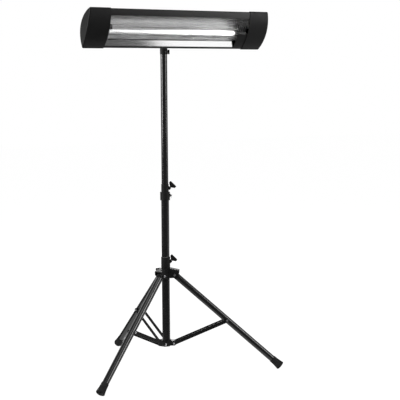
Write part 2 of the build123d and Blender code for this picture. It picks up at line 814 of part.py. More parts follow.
with BuildPart() as lock_pin_ring:
    add(ring(ring_wire / 2))
write(lock_pin_ring, "lock_pin_ring")

with BuildPart() as lock_pin:
    with BuildSketch(pin_out.offset(mast_od / 2 + face_gap)):
        Circle(lock_pin_diameter / 2)
    extrude(amount=lock_boss_end - mast_od / 2)
    with BuildSketch(pin_out.offset(lock_boss_end + face_gap)):
        Circle(lock_head_radius)
    extrude(amount=lock_head_length)
    add(ring(ring_wire / 2 + press_gap), mode=Mode.SUBTRACT)
write(lock_pin, "lock_pin")


# ================================================================ adapter, turns on the mast
tilt_axis = head_section.from_local_coords(Vector(tilt_axis_behind, tilt_axis_above, 0))
side_view = Plane(origin=(0, 0, 0), x_dir=(0, -1, 0), z_dir=(-1, 0, 0))
tilt_axis_out = -tilt_axis.Y
tilt_axis_height = tilt_axis.Z
fork_outer = fork_inner + fork_cheek
adapter_radius = adapter_od / 2

with BuildPart() as adapter:
    with BuildSketch(side_view):
        with BuildLine():
            Polyline(
                (-adapter_radius + overcut, adapter_top - fork_root),
                (-adapter_radius + overcut, adapter_top + overcut),
                (tilt_axis_out - fork_lean, tilt_axis_height + fork_neck),
                (tilt_axis_out, tilt_axis_height),
                (tilt_axis_out + fork_lean, tilt_axis_height - fork_neck),
                (adapter_radius, adapter_top - fork_root),
                close=True,
            )
        make_face()
        with Locations((tilt_axis_out, tilt_axis_height)):
            Circle(fork_eye_radius)
    extrude(amount=fork_outer, both=True)
    with BuildSketch(side_view):
        with Locations((tilt_axis_out, tilt_axis_height)):
            Circle(fork_room_radius)
        with BuildLine():
            Polyline(
                (tilt_axis_out - fork_room_radius, tilt_axis_height),
                (tilt_axis_out - fork_room_radius, tilt_axis_height + 2 * fork_room_radius),
                (tilt_axis_out + 2 * fork_room_radius, tilt_axis_height + 2 * fork_room_radius),
                (tilt_axis_out + 2 * fork_room_radius, adapter_top - fork_root / 2),
                (adapter_radius, adapter_top - fork_root / 2),
                (tilt_axis_out - fork_room_radius, tilt_axis_height - fork_room_radius / 2),
                close=True,
            )
        make_face()
    extrude(amount=fork_inner, both=True, mode=Mode.SUBTRACT)
    with BuildSketch(Plane.XY.offset(adapter_bottom)):
        Circle(adapter_radius)
    extrude(amount=adapter_top - adapter_bottom)
    with BuildSketch(Plane.XY.offset(adapter_bottom)):
        Circle(mast_od / 2 + running_gap)
    extrude(amount=adapter_top - adapter_roof - adapter_bottom, mode=Mode.SUBTRACT)
    with BuildSketch(side_view):
        with Locations((tilt_axis_out, tilt_axis_height)):
            Circle(tilt_bolt_diameter / 2 + press_gap)
    extrude(amount=2 * fork_outer, both=True, mode=Mode.SUBTRACT)
    with BuildSketch(outward_plane(screw_azimuth, knob_height)):
        Circle(knob_stud_diameter / 2 + running_gap)
    extrude(amount=adapter_od, mode=Mode.SUBTRACT)
    with BuildSketch(outward_plane(adapter_screw_azimuth, knob_height)):
        Circle(adapter_screw_diameter / 2 + press_gap)
    extrude(amount=adapter_od, mode=Mode.SUBTRACT)
write(adapter, "adapter")

with BuildPart() as adapter_screw:
    with BuildSketch(outward_plane(adapter_screw_azimuth, knob_height).offset(mast_od / 2 + face_gap)):
        Circle(adapter_screw_diameter / 2)
    extrude(amount=adapter_radius - mast_od / 2)
    with BuildSketch(outward_plane(adapter_screw_azimuth, knob_height).offset(adapter_radius)):
        Circle(adapter_screw_head_radius)
    extrude(amount=adapter_screw_head_height)
write(adapter_screw, "adapter_screw")

knob_out = outward_plane(screw_azimuth, knob_height)
with BuildPart() as adapter_knob_stud:
    with BuildSketch(knob_out.offset(mast_od / 2 + screw_tip_gap)):
        Circle(knob_stud_diameter / 2)
    extrude(amount=knob_end - knob_cap - face_gap - mast_od / 2)
write(adapter_knob_stud, "adapter_knob_stud")

with BuildPart() as adapter_knob:
    with BuildSketch(knob_out.offset(knob_start)):
        Circle(knob_radius)
        with PolarLocations(knob_radius + knob_flute_set, knob_flutes):
            Circle(knob_flute_radius, mode=Mode.SUBTRACT)
    extrude(amount=knob_end - knob_start)
    with BuildSketch(knob_out):
        Circle(knob_stud_diameter / 2 + press_gap)
    extrude(amount=knob_end - knob_cap, mode=Mode.SUBTRACT)
write(adapter_knob, "adapter_knob")

nut_face = fork_outer + tilt_nut_height
bolt_end = fork_outer + tilt_knob_length - tilt_knob_neck
with BuildPart() as tilt_bolt:
    bolt_view = Plane(origin=tilt_axis, x_dir=(0, 0, 1), z_dir=(1, 0, 0))
    with BuildSketch(bolt_view.offset(-fork_outer)):
        Circle(tilt_bolt_diameter / 2)
    extrude(amount=fork_outer + bolt_end)
    with BuildSketch(bolt_view.offset(-nut_face)):
        RegularPolygon(tilt_nut_radius, 6)
    extrude(amount=tilt_nut_height)
write(tilt_bolt, "tilt_bolt")

with BuildPart() as tilt_knob:
    with BuildSketch(bolt_view.offset(fork_outer + face_gap)):
        Circle(tilt_knob_neck_radius)
    extrude(amount=tilt_knob_neck)
    with BuildSketch(bolt_view.offset(fork_outer + face_gap + tilt_knob_neck)):
        Circle(tilt_knob_radius)
        with PolarLocations(tilt_knob_radius + tilt_knob_hollow_set, tilt_knob_lobes):
            Circle(tilt_knob_hollow, mode=Mode.SUBTRACT)
    extrude(amount=tilt_knob_length - tilt_knob_neck)
    chamfer(tilt_knob.faces().sort_by(Axis.X)[-1].edges(), tilt_knob_edge)
    with BuildSketch(bolt_view):
        Circle(tilt_bolt_diameter / 2 + running_gap)
    extrude(amount=bolt_end + face_gap, mode=Mode.SUBTRACT)
write(tilt_knob, "tilt_knob")

# ================================================================ heater head: housing and caps
def cap_screw_plane(side, end):
    """Plane on the cap's back, at a cap screw, facing out."""
    a = radians(end * cap_screw_angle)
    spot = Vector(
        back_arc_centre - back_arc_radius * cos(a),
        back_arc_radius * sin(a),
        -side * cap_screw_x,
    )
    out = head_section.from_local_coords(spot + Vector(-cos(a), sin(a), 0))
    origin = head_section.from_local_coords(spot)
    return Plane(origin=origin, x_dir=(1, 0, 0), z_dir=out - origin)


def head_bar(outline, start_x, end_x):
    """A section drawn on the head's plane and drawn out along the head."""
    with BuildPart() as bar:
        with BuildSketch(head_slice(start_x)):
            add(outline)
        extrude(amount=start_x - end_x)
    return bar.part


def cap_block(outline, side, corner_x, end_x):
    """A cap's volume: the head's section, ended by a shallow arc seen from the front."""
    half = cap_chord / 2 + overcut
    with BuildPart() as block:
        add(head_bar(outline, side * cap_inner_x, side * (end_x + overcut)))
        with BuildSketch(head_face):
            with BuildLine():
                Polyline(
                    (side * corner_x, half),
                    (side * (cap_inner_x - overcut), half),
                    (side * (cap_inner_x - overcut), -half),
                    (side * corner_x, -half),
                )
                ThreePointArc((side * corner_x, -half), (side * end_x, 0), (side * corner_x, half))
            make_face()
        extrude(amount=cap_chord, both=True, mode=Mode.INTERSECT)
    return block.part


with BuildPart() as housing:
    with BuildSketch(head_slice(-housing_end_x)):
        add(housing_outline)
        add(housing_hollow, mode=Mode.SUBTRACT)
        with Locations((cap_front_rise, (window_top + window_bottom) / 2)):
            Rectangle(2 * cap_front_rise, window_top - window_bottom, mode=Mode.SUBTRACT)
    extrude(amount=-2 * housing_end_x)
    for side in (-1, 1):
        for end in (-1, 1):
            with BuildSketch(cap_screw_plane(side, end)):
                Circle(cap_screw_diameter / 2 + press_gap)
            extrude(amount=-cap_screw_length - overcut, mode=Mode.SUBTRACT)
    for x in (-saddle_screw_x, saddle_screw_x):
        for end in (-1, 1):
            with BuildSketch(head_face):
                with Locations((x, tilt_axis_above + end * saddle_screw_half_height)):
                    Circle(saddle_screw_diameter / 2 + press_gap)
            extrude(amount=-2 * cap_back_rise, mode=Mode.SUBTRACT)
write(housing, "housing")

for side, name in ((-1, "left_cap"), (1, "right_cap")):
    with BuildPart() as cap:
        add(cap_block(cap_outline, side, cap_corner_x, cap_end_x))
        rim = cap.edges().filter_by(lambda e: abs(e.center().X) > cap_corner_x - overcut)
        fillet(rim, cap_edge_round)
        add(
            cap_block(cap_cavity_outline, side, cap_corner_x - cap_wall, cap_end_x - cap_wall),
            mode=Mode.SUBTRACT,
        )
        for end in (-1, 1):
            with BuildSketch(cap_screw_plane(side, end)):
                Circle(cap_screw_diameter / 2 + press_gap)
            extrude(amount=cap_screw_length, both=True, mode=Mode.SUBTRACT)
        if side > 0:
            with BuildSketch(head_face):
                with Locations((gland_x, gland_above)):
                    Circle(gland_thread_radius + press_gap)
            extrude(amount=-2 * cap_back_rise, mode=Mode.SUBTRACT)
    write(cap, name)

with BuildPart() as cap_screws:
    for side in (-1, 1):
        for end in (-1, 1):
            with BuildSketch(cap_screw_plane(side, end)):
                RegularPolygon(cap_screw_diameter / 2, 6)
            extrude(amount=-cap_screw_length)
            with BuildSketch(cap_screw_plane(side, end)):
                RegularPolygon(cap_screw_head_radius, 6)
            extrude(amount=cap_screw_head_height)
write(cap_screws, "cap_screws")

# ================================================================ saddle behind the head
with BuildSketch() as saddle_outline:
    add(lens(housing_inset - saddle_thickness, cap_corner))
    add(housing_outline, mode=Mode.SUBTRACT)
    with Locations((-cap_back_rise, (saddle_top + saddle_bottom) / 2)):
        Rectangle(cap_back_rise, saddle_top - saddle_bottom, mode=Mode.INTERSECT)

with BuildSketch() as ear_outline:
    with BuildLine():
        Polyline(
            (-cap_back_rise / 2, saddle_top - ear_inset),
            (tilt_axis_behind, tilt_axis_above + ear_radius),
            (tilt_axis_behind, tilt_axis_above - ear_radius),
            (-cap_back_rise / 2, saddle_bottom + ear_inset),
            close=True,
        )
    make_face()
    with Locations((tilt_axis_behind, tilt_axis_above)):
        Circle(ear_radius)
        Circle(tilt_bolt_diameter / 2 + running_gap, mode=Mode.SUBTRACT)
    add(housing_outline, mode=Mode.SUBTRACT)

ear_outer = fork_inner - face_gap
with BuildPart() as saddle:
    add(head_bar(saddle_outline.sketch, -saddle_half_width, saddle_half_width))
    for end in (-1, 1):
        add(head_bar(ear_outline.sketch, end * ear_outer, end * (ear_outer - ear_thickness)))
    for x in (-saddle_screw_x, saddle_screw_x):
        for end in (-1, 1):
            with BuildSketch(head_face):
                with Locations((x, tilt_axis_above + end * saddle_screw_half_height)):
                    Circle(saddle_screw_diameter / 2 + press_gap)
            extrude(amount=-2 * cap_back_rise, mode=Mode.SUBTRACT)
write(saddle, "saddle")


with BuildPart() as saddle_screws:
    for x in (-saddle_screw_x, saddle_screw_x):
        for end in (-1, 1):
            height = tilt_axis_above + end * saddle_screw_half_height
            seat = back_face_at(abs(height) + saddle_screw_head_radius, saddle_thickness - housing_inset)
            deepest = back_face_at(abs(height) - saddle_screw_head_radius, saddle_thickness - housing_inset)
            with BuildSketch(head_face.offset(deepest)):
                with Locations((x, height)):
                    RegularPolygon(saddle_screw_diameter / 2, 6)
            extrude(amount=saddle_thickness + housing_wall + saddle_screw_grip)
            with BuildSketch(head_face.offset(deepest)):
                with Locations((x, height)):
                    RegularPolygon(saddle_screw_head_radius, 6)
            extrude(amount=-saddle_screw_head_height)
write(saddle_screws, "saddle_screws")

# ================================================================ reflector and trims
with BuildSketch() as reflector_outline:
    with BuildLine():
        reflector_middle = (reflector_top + reflector_bottom) / 2
        ThreePointArc(
            (reflector_front, reflector_bottom),
            (reflector_back, reflector_middle),
            (reflector_front, reflector_top),
        )
        lip_seat = front_face_at(lip_end, housing_inset + housing_wall) - face_gap - reflector_sheet / 2
        Polyline(
            (reflector_front, reflector_top),
            (lip_front, lip_start),
            (lip_front, lip_turn),
            (lip_seat, lip_end),
        )
    trace(line_width=reflector_sheet)
with BuildPart() as reflector:
    add(head_bar(reflector_outline.sketch, -reflector_end_x, reflector_end_x))
write(reflector, "reflector")

with BuildSketch() as end_plate_outline:
    with BuildLine():
        ThreePointArc(
            (reflector_front, reflector_bottom),
            (reflector_back, reflector_middle),
            (reflector_front, reflector_top),
        )
        Line((reflector_front, reflector_top), (reflector_front, reflector_bottom))
    make_face()
    with Locations((lamp_behind, lamp_above)):
        Circle(end_plate_hole, mode=Mode.SUBTRACT)
for side, name in ((-1, "reflector_end_left"), (1, "reflector_end_right")):
    with BuildPart() as end_plate:
        add(head_bar(end_plate_outline.sketch, side * reflector_end_x, side * (reflector_end_x + end_plate_sheet)))
    write(end_plate, name)

trim_foot = front_face_at(trim_foot_height, housing_inset + housing_wall) - trim_foot_gap - trim_sheet / 2
trim_heel = front_face_at(trim_heel_height, housing_inset + housing_wall) - face_gap - trim_sheet / 2
with BuildSketch() as trim_outline:
    with BuildLine():
        Polyline(trim_start, trim_knee, (trim_foot, trim_foot_height), (trim_heel, trim_heel_height))
    trace(line_width=trim_sheet)
with BuildPart() as lower_trim:
    add(head_bar(trim_outline.sketch, -reflector_end_x, trim_end_x))
write(lower_trim, "lower_trim")

cover_inset = housing_inset + face_gap / 2
with BuildSketch() as cover_outline:
    add(lens(cover_inset, cover_corner))
    add(lens(cover_inset + cover_sheet, cover_corner), mode=Mode.SUBTRACT)
    with Locations((cap_front_rise, (cover_top + window_bottom) / 2)):
        Rectangle(2 * cap_front_rise, cover_top - window_bottom, mode=Mode.INTERSECT)
with BuildPart() as terminal_cover:
    add(head_bar(cover_outline.sketch, cover_start_x, cover_end_x))
write(terminal_cover, "terminal_cover")

# ================================================================ lamp
with BuildPart() as quartz_tube:
    with BuildSketch(head_slice(-lamp_end_x)):
        with Locations((lamp_behind, lamp_above)):
            Circle(lamp_od / 2)
            Circle(lamp_od / 2 - lamp_wall, mode=Mode.SUBTRACT)
    extrude(amount=-2 * lamp_end_x)
write(quartz_tube, "quartz_tube")

with BuildPart() as filament:
    with BuildSketch(head_slice(-coil_end_x)):
        with Locations((lamp_behind, lamp_above)):
            Circle(coil_radius)
    extrude(amount=-2 * coil_end_x)
    with BuildSketch(head_slice(-lamp_end_x)):
        with Locations((lamp_behind, lamp_above)):
            Circle(coil_tail_radius)
    extrude(amount=-2 * lamp_end_x)
write(filament, "filament")

for side, name in ((-1, "lamp_holder_left"), (1, "lamp_holder_right")):
    with BuildPart() as holder:
        with BuildSketch(head_slice(side * holder_start_x)):
            with Locations((lamp_behind, lamp_above)):
                Circle(holder_radius)
        extrude(amount=-side * (reflector_end_x - holder_start_x))
        with BuildSketch(head_slice(side * holder_start_x)):
            with Locations((lamp_behind, lamp_above)):
                Circle(lamp_od / 2 + press_gap)
        extrude(amount=-side * (lamp_end_x - holder_start_x), mode=Mode.SUBTRACT)
    write(holder, name)

with BuildPart() as lamp_leads:
    with BuildLine(head_face.offset(lead_behind)) as lead_path:
        FilletPolyline(
            (reflector_end_x, lead_low),
            (reflector_end_x - lead_reach + lead_slant, lead_low),
            (reflector_end_x - lead_reach, (lead_low + lead_high) / 2),
            (reflector_end_x - lead_reach + lead_slant, lead_high),
            (reflector_end_x, lead_high),
            radius=lead_bend,
        )
    with BuildSketch(Plane(origin=lead_path.line @ 0, z_dir=lead_path.line % 0)):
        RegularPolygon(lead_wire / 2, 6)
    sweep(path=lead_path.line)
write(lamp_leads, "lamp_leads")

# ================================================================ grille
# Every wire is hooked over the upper rod, bows out in front of the lamp and turns back over the lower rod.
with BuildSketch() as wire_outline:
    with BuildLine():
        Polyline(wire_hook, wire_shoulder, wire_belly, wire_turn, wire_tail)
    trace(line_width=wire_diameter)
half_wire = wire_diameter / 2
one_wire = head_bar(wire_outline.sketch, -half_wire, half_wire)

wire_count = 2 * int(grille_reach_x / wire_pitch) + 1
with BuildPart() as grille:
    with BuildSketch(head_slice(-grille_reach_x)):
        with Locations(upper_rod, lower_rod):
            Rectangle(rod_width, rod_width)
    extrude(amount=-2 * grille_reach_x)
    with GridLocations(wire_pitch, 0, wire_count, 1):
        add(one_wire)
write(grille, "grille")

# ================================================================ wiring parts in the right cap
wiring_face = reflector_end_x + end_plate_sheet
with BuildPart() as terminal_block:
    with BuildSketch(head_slice(wiring_face)):
        with Locations(block_centre):
            Rectangle(block_depth, block_length)
    extrude(amount=-block_height)
    with BuildSketch(head_slice(wiring_face + block_height)):
        for step in (-1, 0, 1):
            with Locations((block_centre[0], block_centre[1] + step * block_well_step)):
                Circle(block_well_radius)
    extrude(amount=block_well_depth, mode=Mode.SUBTRACT)
write(terminal_block, "terminal_block")

with BuildPart() as tip_switch:
    with BuildSketch(head_slice(wiring_face)):
        with Locations(switch_centre):
            Rectangle(switch_depth, switch_size)
    extrude(amount=-switch_size)
    chamfer(tip_switch.faces().sort_by(Axis.X)[-1].edges(), switch_edge)
write(tip_switch, "tip_switch")

gland_seat = back_face_at(abs(gland_above) - gland_radius, 0)
gland_seat_plane = Plane(
    origin=head_face.from_local_coords(Vector(gland_x, gland_above, gland_seat)),
    x_dir=(1, 0, 0),
    z_dir=-head_face.z_dir,
)
with BuildPart() as cable_gland:
    with BuildSketch(gland_seat_plane):
        RegularPolygon(gland_radius, 6)
    extrude(amount=gland_nut)
    with Locations(gland_seat_plane.offset(gland_nut)):
        nose = gland_length - gland_nut
        Cone(gland_thread_radius, gland_thread_radius - nose * tan(radians(gland_slope)), nose, align=standing)
    with BuildSketch(gland_seat_plane):
        Circle(gland_thread_radius)
    extrude(amount=-gland_root)
    with BuildSketch(gland_seat_plane.offset(gland_length)):
        Circle(gland_bore)
    extrude(amount=-gland_length - gland_root, mode=Mode.SUBTRACT)
write(cable_gland, "cable_gland")
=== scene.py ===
# %% [markdown]
# # An infrared patio heater on a tripod
#
# This script dresses a finished CAD model of a patio heater: a long lamp head with a bright wire grille, on
# a telescopic mast with a folding tripod. The CAD model is the frame. It says where each piece is, and the
# joints that it has are kept. Here we add the camera, the light, the finishes, and the few pieces whose
# fine shape a CAD model leaves out: the round wires of the grille, the coil inside the lamp, and the heads
# of the screws.

import json
from math import cos, pi, radians, sin

import bpy
from mathutils import Matrix, Vector

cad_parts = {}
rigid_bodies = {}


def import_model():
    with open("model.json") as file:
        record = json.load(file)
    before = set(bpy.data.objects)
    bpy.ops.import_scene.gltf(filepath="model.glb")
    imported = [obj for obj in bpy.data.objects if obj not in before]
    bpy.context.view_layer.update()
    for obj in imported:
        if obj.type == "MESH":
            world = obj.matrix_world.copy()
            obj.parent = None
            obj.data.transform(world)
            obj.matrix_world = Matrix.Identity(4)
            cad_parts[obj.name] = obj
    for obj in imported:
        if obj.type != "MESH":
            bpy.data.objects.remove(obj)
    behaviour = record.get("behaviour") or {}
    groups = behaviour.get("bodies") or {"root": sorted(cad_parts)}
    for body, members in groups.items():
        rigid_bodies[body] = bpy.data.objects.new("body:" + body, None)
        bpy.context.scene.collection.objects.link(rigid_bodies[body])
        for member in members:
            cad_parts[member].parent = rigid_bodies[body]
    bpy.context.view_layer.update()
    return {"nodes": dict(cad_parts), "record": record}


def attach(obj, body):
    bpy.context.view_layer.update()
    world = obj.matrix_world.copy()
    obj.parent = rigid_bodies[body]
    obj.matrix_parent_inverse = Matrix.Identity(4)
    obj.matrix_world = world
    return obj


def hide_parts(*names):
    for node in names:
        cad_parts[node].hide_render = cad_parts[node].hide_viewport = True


for leftover in list(bpy.data.objects):
    bpy.data.objects.remove(leftover)

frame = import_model()
scene = bpy.context.scene

# %% [markdown]
# ## The camera
#
# A product photograph is easiest to match when the camera is worked out before anything else. The outlines
# of the tripod, the mast and the head fit one pinhole camera: a long lens, a little lower than the head,
# that looks down by six degrees. It stands thirty degrees to the left, which is why the left cap looks
# larger. Its distances are metres, and its pitch, yaw and roll are small angles in radians.

# %% Camera
lens_mm = 101.95
sensor_mm = 36.0
camera_distance = 4.939
camera_height = 1.3006
camera_side = radians(-30.0)
camera_pitch = 0.1100
camera_yaw = -0.0310
camera_roll = -0.0060

ahead = Vector((-sin(camera_yaw), cos(camera_yaw), 0))
right = Vector((cos(camera_yaw), sin(camera_yaw), 0))
up = Vector((0, 0, 1))
look = ahead * cos(camera_pitch) - up * sin(camera_pitch)
top = ahead * sin(camera_pitch) + up * cos(camera_pitch)
image_right = right * cos(camera_roll) + top * sin(camera_roll)
image_up = top * cos(camera_roll) - right * sin(camera_roll)

turn = Matrix((image_right, image_up, -look)).transposed().to_4x4()
spot = Matrix.Translation((0, -camera_distance, camera_height))
camera_data = bpy.data.cameras.new("camera")
camera_data.lens = lens_mm
camera_data.sensor_width = sensor_mm
camera = bpy.data.objects.new("camera", camera_data)
camera.matrix_world = Matrix.Rotation(camera_side, 4, "Z") @ spot @ turn
scene.collection.objects.link(camera)
scene.camera = camera
print("camera at", [round(v, 3) for v in camera.matrix_world.translation])

# %% [markdown]
# ## Writing node trees as plain Python
#
# A node tree made by hand in code is long and hard to read. Two small classes shorten it. `Wire` stands for
# an output socket and knows the signs for adding and multiplying, on either side of a number, so that
# `seen + mirrored` adds a Math node by itself. `Tree` adds any other node: its settings first, then the
# values or wires of its inputs.


# %% A socket that can be added and multiplied
class Wire:
    """An output socket. A sum or a product of it adds a Math node."""

    def __init__(self, tree, socket):
        self.tree = tree
        self.socket = socket

    def math(self, operation, first, second):
        return self.tree.node("ShaderNodeMath", {"operation": operation}, {0: first, 1: second})

    def __add__(self, other):
        return self.math("ADD", self, other)

    def __radd__(self, other):
        return self.math("ADD", other, self)

    def __mul__(self, other):
        return self.math("MULTIPLY", self, other)

    def __rmul__(self, other):
        return self.math("MULTIPLY", other, self)


# %% A tree that adds nodes
class Tree:
    """A node tree of a material, the world or a Geometry Nodes group."""

    def __init__(self, tree):
        self.tree = tree

    def connect(self, value, socket):
        """Gives a socket a wire or a plain value."""
        if isinstance(value, Wire):
            self.tree.links.new(value.socket, socket)
        else:
            socket.default_value = value

    def node(self, kind, settings, inputs, output=0):
        """Adds a node and gives back the wire of one of its outputs, where it has any."""
        made = self.tree.nodes.new(kind)
        for name, value in settings.items():
            setattr(made, name, value)
        for name, value in inputs.items():
            self.connect(value, made.inputs[name])
        return Wire(self, made.outputs[output]) if len(made.outputs) else None


def emptied(owner):
    """The cleared node tree of a material or a world."""
    owner.use_nodes = True
    owner.node_tree.nodes.clear()
    return Tree(owner.node_tree)


print("node helpers ready")

# %% [markdown]
# ## Light and stage
#
# Black paint shows its shape only by what it reflects. Two tall strip lights, one at the far left and one
# at the right of the camera, draw the two pale streaks that run up the mast. A large light overhead and a
# weak one in front lift the head a little, and one behind gives the back its own edge. The world is white
# to the camera, to reflections and through glass, and softer as a light, so the background is white while
# the black stays black.

# %% World
white = (1, 1, 1, 1)
sky_light = 0.42
sky_seen = 1.0


def picture_rays(tree):
    """One for the rays that picture the background: straight on, mirrored, or through glass."""
    seen = tree.node("ShaderNodeLightPath", {}, {}, "Is Camera Ray")
    mirrored = tree.node("ShaderNodeLightPath", {}, {}, "Is Glossy Ray")
    through = tree.node("ShaderNodeLightPath", {}, {}, "Is Transmission Ray")
    return seen + mirrored + through


world = bpy.data.worlds.new("studio")
scene.world = world
sky = emptied(world)
soft = sky.node("ShaderNodeBackground", {}, {"Color": white, "Strength": sky_light})
plain_white = sky.node("ShaderNodeBackground", {}, {"Color": white, "Strength": sky_seen})
either = sky.node("ShaderNodeMixShader", {}, {0: picture_rays(sky), 1: soft, 2: plain_white})
sky.node("ShaderNodeOutputWorld", {}, {"Surface": either})
scene.view_settings.view_transform = "Standard"
print("world strength", sky_light)


# %% Soft lights
def soft_light(name, place, aim, width, height, watts):
    """A rectangular lamp that faces a point."""
    data = bpy.data.lights.new(name, "AREA")
    data.shape = "RECTANGLE"
    data.size = width
    data.size_y = height
    data.energy = watts
    lamp = bpy.data.objects.new(name, data)
    facing = (Vector(aim) - Vector(place)).to_track_quat("-Z", "Y")
    lamp.matrix_world = Matrix.Translation(place) @ facing.to_matrix().to_4x4()
    scene.collection.objects.link(lamp)


heater_middle = (0, 0, 0.85)
mast_middle = (0, 0, 1.15)
mast_upper = (0, 0, 1.2)
window_middle = (0, -0.13, 1.45)
soft_light("left_strip", place=(-2.95, 0.5, 1.75), aim=mast_middle, width=1.2, height=1.8, watts=100)
soft_light("right_strip", place=(1.93, -2.3, 1.75), aim=mast_middle, width=0.8, height=1.8, watts=36)
soft_light("overhead", place=(0.2, -0.6, 3.6), aim=mast_upper, width=2.4, height=2.4, watts=40)
soft_light("front_box", place=(1.65, -2.6, 1.85), aim=window_middle, width=1.5, height=1.1, watts=12)
soft_light("back_strip", place=(1.6, 3.0, 1.6), aim=heater_middle, width=0.5, height=2.4, watts=40)

# %% Floor
floor_size = 30.0
paper_grey = (0.85, 0.85, 0.85, 1)
paper_seen = 1.1
white_share = 0.86

half = floor_size / 2
floor_mesh = bpy.data.meshes.new("floor")
corners = [(-half, -half, 0), (half, -half, 0), (half, half, 0), (-half, half, 0)]
floor_mesh.from_pydata(corners, [], [(0, 1, 2, 3)])
floor = bpy.data.objects.new("floor", floor_mesh)
scene.collection.objects.link(floor)

paper = bpy.data.materials.new("floor_paper")
sheet = emptied(paper)
matt = sheet.node("ShaderNodeBsdfDiffuse", {}, {"Color": paper_grey})
glow = sheet.node("ShaderNodeEmission", {}, {"Color": white, "Strength": paper_seen})
surface = sheet.node("ShaderNodeMixShader", {}, {0: picture_rays(sheet) * white_share, 1: matt, 2: glow})
sheet.node("ShaderNodeOutputMaterial", {}, {"Surface": surface})
floor_mesh.materials.append(paper)
print("floor", floor_size, "m")

# %% [markdown]
# ### Dark cloths for the reflections
#
# Black paint and polished metal are only as dark as what they reflect. A photographer stands in a dim room
# and lays a dark cloth on the floor in front of the object, and only the white sheet behind it is lit. The
# cloths here are seen by reflections alone: the camera looks through them, and they throw no shadow. The
# cloth on the floor stops short at the right, so the polished ledge under the lamp is dark at its left end
# and white at its right, as in the photograph. A curtain hangs round the front, and a dim ceiling lies over
# it.


# %% A cloth that only reflections see
def dark_cloth(name, points, faces, brightness):
    """A sheet of this brightness that mirrors show and nothing else does."""
    mesh = bpy.data.meshes.new(name)
    mesh.from_pydata(points, [], faces)
    cloth = bpy.data.objects.new(name, mesh)
    scene.collection.objects.link(cloth)
    for ray in ("camera", "diffuse", "transmission", "volume_scatter", "shadow"):
        setattr(cloth, "visible_" + ray, False)
    dyed = bpy.data.materials.new(name)
    weave = emptied(dyed)
    dim = weave.node("ShaderNodeEmission", {}, {"Color": white, "Strength": brightness})
    weave.node("ShaderNodeOutputMaterial", {}, {"Surface": dim})
    mesh.materials.append(dyed)
    print(name, len(faces), "faces")


# %% Floor cloth
cloth_lift = 0.012
cloth_brightness = 0.1
cloth_front = [(-5.5, -5.5), (4.0, -5.5), (4.0, -3.4), (1.5, -3.4), (1.5, -0.35)]
cloth_back = [(-0.45, -0.35), (-0.45, 0.5), (0.8, 0.5), (0.8, 3.5), (-5.5, 3.5)]
cloth_points = [(across, deep, cloth_lift) for across, deep in cloth_front + cloth_back]
dark_cloth("floor_cloth", cloth_points, [tuple(range(len(cloth_points)))], cloth_brightness)

# %% Curtain and ceiling
curtain_radius = 6.0
curtain_foot = 0.02
curtain_top = 6.5
curtain_brightness = 0.15
curtain_steps = 48
curtain_first = radians(-245)
curtain_step = radians(5)
ceiling_steps = 72


def on_rail(angle, height):
    """A point of the curtain's round rail, or below it."""
    return (curtain_radius * cos(angle), curtain_radius * sin(angle), height)


hung = []
for step in range(curtain_steps + 1):
    angle = curtain_first + step * curtain_step
    hung += [on_rail(angle, curtain_foot), on_rail(angle, curtain_top)]
folds = [(2 * i, 2 * i + 2, 2 * i + 3, 2 * i + 1) for i in range(curtain_steps)]
dark_cloth("curtain", hung, folds, curtain_brightness)

ceiling = [on_rail(2 * pi * step / ceiling_steps, curtain_top) for step in range(ceiling_steps)]
dark_cloth("ceiling", ceiling, [tuple(range(ceiling_steps))], curtain_brightness)

# %% [markdown]
# ## Finishes
#
# Every finish starts in the same way: one Principled shader, and patterns that are placed by the object's
# own coordinates, in metres. So a grain of 2000 per metre is half a millimetre on every piece. The plain
# numbers, such as how metallic a finish is, are set on the shader. The first colour and roughness are the
# finish at a glance, and the patterns that are wired in after them vary them over the surface.


# %% One finish
class Finish(Tree):
    """A material with one Principled shader."""

    noise_low = 0.3
    noise_high = 0.7

    def __init__(self, name, **plain):
        self.material = bpy.data.materials.new(name)
        self.material.use_nodes = True
        super().__init__(self.material.node_tree)
        self.shader = self.tree.nodes["Principled BSDF"]
        self.place = self.node("ShaderNodeTexCoord", {}, {}, "Object")
        self.set(**plain)

    def set(self, **values):
        """Sets or wires the shader's inputs: base_color stands for Base Color."""
        for name, value in values.items():
            label = name.replace("_", " ").title().replace("Ior", "IOR")
            self.connect(value, self.shader.inputs[label])

    def grain(self, per_metre, detail, stretch=(1, 1, 1)):
        """A cloudy pattern from 0 to 1, with this many spots in a metre."""
        mapped = self.node("ShaderNodeMapping", {}, {"Vector": self.place, "Scale": stretch})
        inputs = {"Vector": mapped, "Scale": per_metre, "Detail": detail}
        return self.node("ShaderNodeTexNoise", {}, inputs)

    def spread(self, pattern, low, high):
        """Moves the range that most of a pattern lies in to low and high."""
        inputs = {"Value": pattern, "From Min": self.noise_low, "From Max": self.noise_high}
        inputs.update({"To Min": low, "To Max": high})
        return self.node("ShaderNodeMapRange", {"clamp": True}, inputs)

    def patches(self, per_metre, detail, low=0.0, high=1.0):
        """A cloudy pattern from low to high."""
        return self.spread(self.grain(per_metre, detail), low, high)

    def blend(self, share, first, second):
        """A colour between two colours."""
        return self.node("ShaderNodeMix", {"data_type": "RGBA"}, {0: share, 6: first, 7: second}, 2)

    def bumps(self, height, millimetres):
        """Raises the surface by a pattern, this many millimetres high."""
        inputs = {"Height": height, "Distance": millimetres / 1000}
        self.set(normal=self.node("ShaderNodeBump", {}, inputs))


def grey(value, tint=0.0):
    """A grey, a little blue where tint is above zero."""
    return (value, value, value * (1 + tint), 1)


print("finish helper ready")

# %% [markdown]
# ### Powder coat
#
# The tubes are steel with a baked powder coat. It is black with a soft sheen, and close up it has the faint
# waves of an orange's skin. Dust makes it a little paler in places. Three sizes of noise do that: a wide one
# for the dust, a middle one for the sheen and a fine one for the skin. Most of the finishes below are built
# in the same way.

